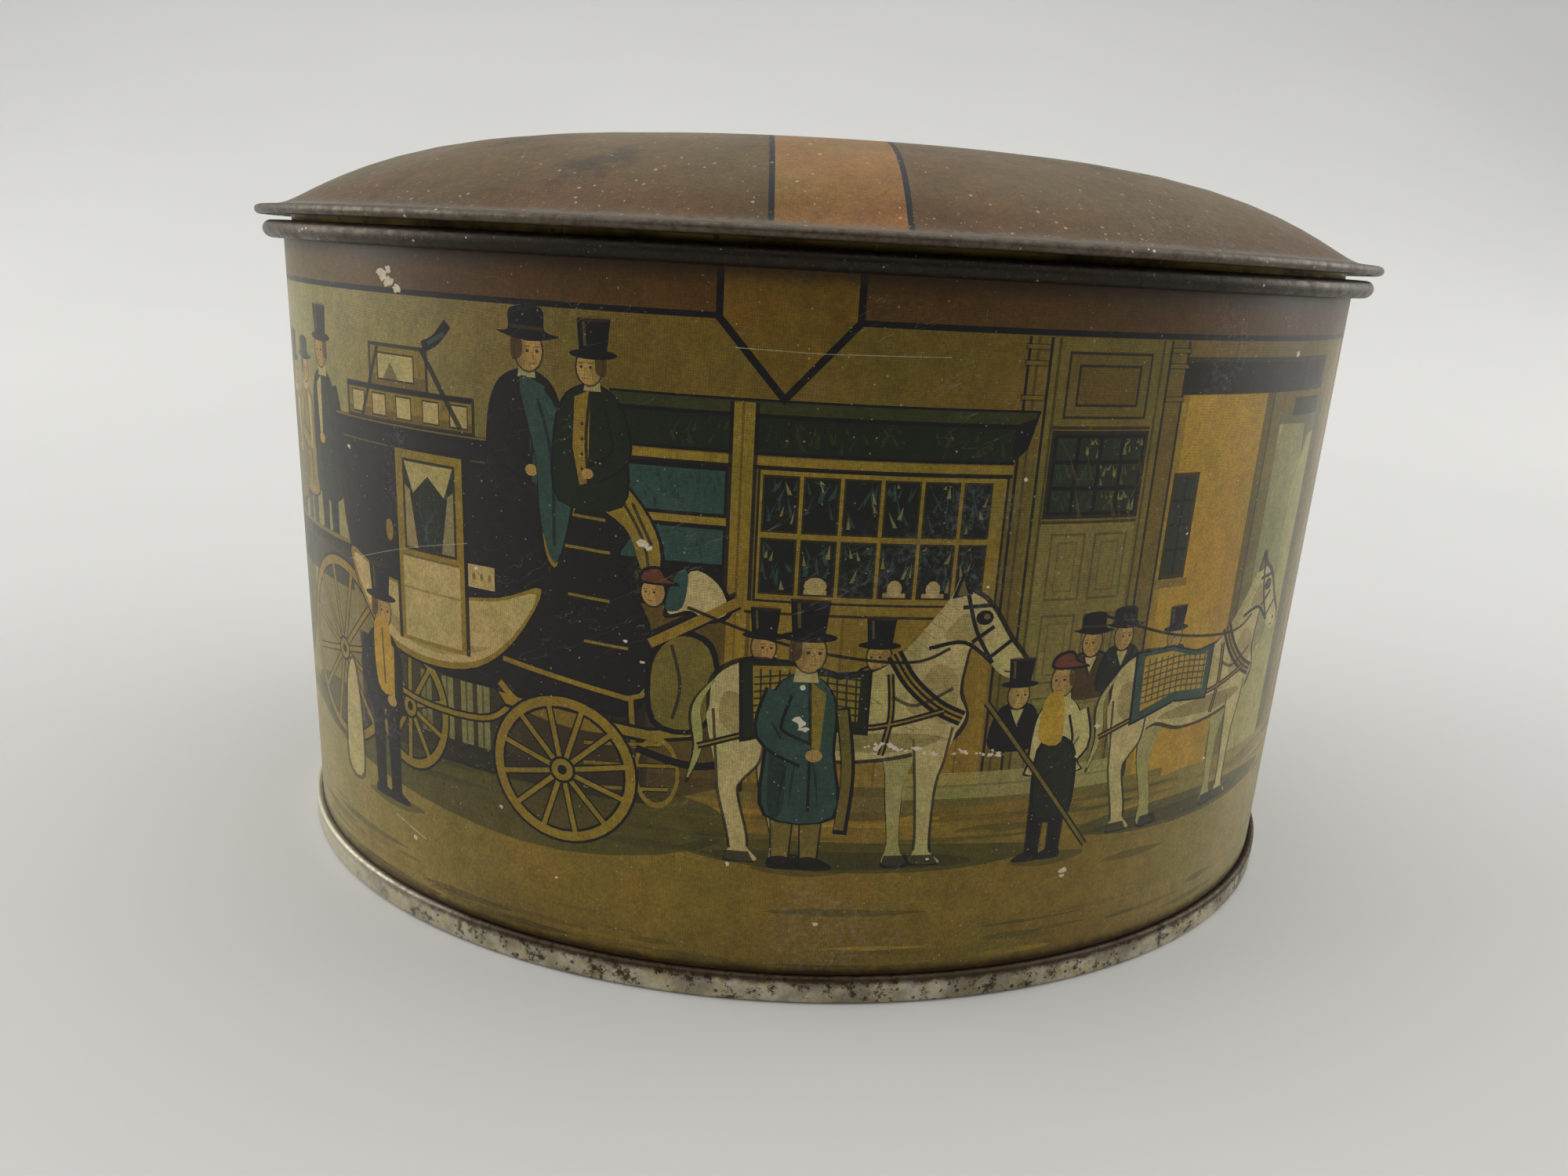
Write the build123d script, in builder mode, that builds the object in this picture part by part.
"""Oval lidded tin of thin printed tinplate, for powder or small goods.

Four stamped or rolled pieces: the wall with a rolled bead round its mouth, the bottom seamed
round the wall's lower edge, the domed lid with a hemmed flange, and the plug band under the lid
that slips inside the wall. Millimetres, +Z up, standing on its bottom seam at z = 0, the long
axis of the oval along X and its front facing -Y.
"""

import os
from math import cos, exp, log1p, radians, sin

from build123d import *

os.makedirs("parts", exist_ok=True)

# oval of the wall's outer face, and the sheet it is made of
half_length = 55.0
half_depth = 44.0
sheet = 0.3

# bottom seam: a folded rim round the wall's lower edge, its foot rubbed flat
seam_out = 0.75
seam_height = 2.7
seam_play = 0.03
seam_flat = 0.02
panel_z = 2.55
panel_step = 0.5
panel_step_in = 6.5

# bead rolled round the mouth of the wall
bead_radius = 0.8
bead_offset = 1.0
bead_z = 62.0

# lid: flange with a hemmed edge, and the dome standing on it
hem_radius = 0.42
hem_offset = 1.98
flange_z = 63.7
foot_length = 56.2
foot_depth = 45.0
dome_rise = 8.58
dome_power = 4.2
dome_reach = 54.9
dome_blend = 0.45

# plug band under the lid
plug_in = 0.8
plug_depth = 7.0
plug_hem = 0.45
plug_flange = 1.4


def polar(centre, radius, degrees):
    """A point on a circle in the section's own plane."""
    angle = radians(degrees)
    return (centre[0] + radius * cos(angle), centre[1] + radius * sin(angle))


def dome_height(radius):
    """Height of the dome over its flange at a distance from the centre along the oval's length."""
    rise = dome_rise * (1 - (radius / dome_reach) ** dome_power)
    if rise > 20 * dome_blend:
        return rise
    return dome_blend * log1p(exp(rise / dome_blend))


# planes across the oval at its +X end, with local x outwards and local y up
wall_cut = Plane(origin=(half_length, 0, 0), x_dir=(1, 0, 0), z_dir=(0, -1, 0))
plug_length = half_length - plug_in
plug_width = half_depth - plug_in
plug_cut = Plane(origin=(plug_length, 0, 0), x_dir=(1, 0, 0), z_dir=(0, -1, 0))

# ---- wall: straight sided band, its top edge rolled outwards into a bead
wall_foot = 0.42 + seam_play
bead = (bead_offset, bead_z)
bead_top = bead_z + bead_radius
lead_in = bead_offset + sheet
tuck = polar(bead, bead_radius, 225)
with BuildPart() as body_wall:
    with BuildLine() as wall_path:
        EllipticalCenterArc((0, 0), half_length, half_depth, start_angle=0, arc_size=360)
    with BuildSketch(wall_cut) as wall_section:
        with BuildLine():
            Line((-sheet, wall_foot), (0, wall_foot))
            Line((0, wall_foot), (0, bead_z - bead_radius * 0.5))
            Line((0, bead_z - bead_radius * 0.5), tuck)
            ThreePointArc(tuck, polar(bead, bead_radius, 337.5), (bead_offset, bead_top))
            ThreePointArc(
                (bead_offset, bead_top),
                polar((bead_offset, bead_top - lead_in), lead_in, 135),
                (-sheet, bead_top - lead_in),
            )
            Line((-sheet, bead_top - lead_in), (-sheet, wall_foot))
        make_face()
    sweep(path=wall_path.line)
body_wall.part.label = "body_wall"

# ---- bottom: stamped panel whose edge drops, turns under the wall and folds up outside it
leg_out = -sheet - seam_play
leg_in = leg_out - sheet
inner_round = (leg_in + 0.4, 0.4 - seam_flat)
outer_round = (seam_out - 0.45, 0.45 - seam_flat)
with BuildPart() as bottom:
    with BuildLine() as seam_path:
        EllipticalCenterArc((0, 0), half_length, half_depth, start_angle=0, arc_size=360)
    with BuildSketch(wall_cut) as seam_section:
        with BuildLine():
            Line((leg_in, panel_z + 0.35), (leg_in, inner_round[1]))
            ThreePointArc(
                (leg_in, inner_round[1]),
                polar(inner_round, 0.4, 225),
                (inner_round[0], -seam_flat),
            )
            Line((inner_round[0], -seam_flat), (outer_round[0], -seam_flat))
            ThreePointArc(
                (outer_round[0], -seam_flat),
                polar(outer_round, 0.45, 315),
                (seam_out, outer_round[1]),
            )
            Line((seam_out, outer_round[1]), (seam_out, seam_height - 0.35))
            ThreePointArc(
                (seam_out, seam_height - 0.35),
                polar((seam_out - 0.35, seam_height - 0.35), 0.35, 45),
                (seam_out - 0.35, seam_height),
            )
            Line((seam_out - 0.35, seam_height), (seam_play, seam_height - 0.2))
            Line((seam_play, seam_height - 0.2), (seam_play, 0.42))
            Line((seam_play, 0.42), (leg_out, 0.42))
            Line((leg_out, 0.42), (leg_out, panel_z + 0.35))
            Line((leg_out, panel_z + 0.35), (leg_in, panel_z + 0.35))
        make_face()
    sweep(path=seam_path.line)
    with BuildSketch(Plane.XY):
        Rectangle(4 * half_length, 4 * half_depth)
    extrude(amount=-1, mode=Mode.SUBTRACT)
    panel_in = sheet * 1.5 + seam_play
    with BuildSketch(Plane.XY.offset(panel_z)):
        Ellipse(half_length - panel_in, half_depth - panel_in)
    extrude(amount=sheet)
    with BuildSketch(Plane.XY.offset(panel_z)):
        Ellipse(half_length - panel_step_in, half_depth - panel_step_in)
    extrude(amount=panel_step + sheet)
    with BuildSketch(Plane.XY.offset(panel_z)):
        Ellipse(half_length - panel_step_in - sheet, half_depth - panel_step_in - sheet)
    extrude(amount=panel_step, mode=Mode.SUBTRACT)
bottom.part.label = "bottom"

# ---- lid: dome drawn from one sheet with its flange, the flange's edge hemmed under
hem_length = half_length + hem_offset
hem_depth = half_depth + hem_offset
flange_top = flange_z + hem_radius - sheet
outer = [(r, flange_top + sheet + dome_height(r)) for r in (8, 18, 28, 36, 43, 48, 51.5, 53.5, 54.9)]
inner = [(r, z - sheet) for r, z in outer]
crown = flange_top + sheet + dome_rise
with BuildPart() as lid:
    with BuildSketch(Plane.XZ):
        with BuildLine():
            Spline(
                (0, crown),
                *outer,
                (foot_length, flange_top + sheet),
                tangents=[(1, 0), (1, 0)],
            )
            Line((foot_length, flange_top + sheet), (foot_length, flange_top))
            Spline(
                (foot_length, flange_top),
                *reversed(inner),
                (0, crown - sheet),
                tangents=[(-1, 0), (-1, 0)],
            )
            Line((0, crown - sheet), (0, crown))
        make_face()
    revolve(axis=Axis.Z)
    scale(by=(1, foot_depth / foot_length, 1))
    with BuildSketch(Plane.XY.offset(flange_top + 0.02)):
        Ellipse(hem_length, hem_depth)
        Ellipse(foot_length - 0.5, foot_depth - 0.5, mode=Mode.SUBTRACT)
    extrude(amount=sheet - 0.04)
    with BuildLine(Plane.XY.offset(flange_z)) as hem_path:
        EllipticalCenterArc((0, 0), hem_length, hem_depth, start_angle=0, arc_size=360)
    with BuildSketch(wall_cut) as hem_section:
        with Locations((hem_offset, flange_z)):
            Circle(hem_radius)
    sweep(sections=hem_section.sketch, path=hem_path.line)
lid.part.label = "lid"

# ---- plug band: inner ring held under the flange, its lower edge hemmed inwards
plug_top = flange_top - 0.08
plug_foot = plug_top - plug_depth
plug_reach = plug_flange + plug_in
hem = (-plug_hem, plug_foot + plug_hem)
with BuildPart() as plug_band:
    with BuildLine() as plug_path:
        EllipticalCenterArc((0, 0), plug_length, plug_width, start_angle=0, arc_size=360)
    with BuildSketch(plug_cut) as plug_section:
        with BuildLine():
            Line((0, hem[1]), (0, plug_top - sheet))
            Line((0, plug_top - sheet), (plug_reach, plug_top - sheet))
            Line((plug_reach, plug_top - sheet), (plug_reach, plug_top))
            Line((plug_reach, plug_top), (-sheet, plug_top))
            Line((-sheet, plug_top), (-sheet, hem[1] + plug_hem * 0.94))
            ThreePointArc((-sheet, hem[1] + plug_hem * 0.94), polar(hem, plug_hem, 180), (0, hem[1]))
        make_face()
    sweep(path=plug_path.line)
plug_band.part.label = "plug_band"

export_step(body_wall.part, "parts/body_wall.step")
export_step(bottom.part, "parts/bottom.step")
export_step(lid.part, "parts/lid.step")
export_step(plug_band.part, "parts/plug_band.step")
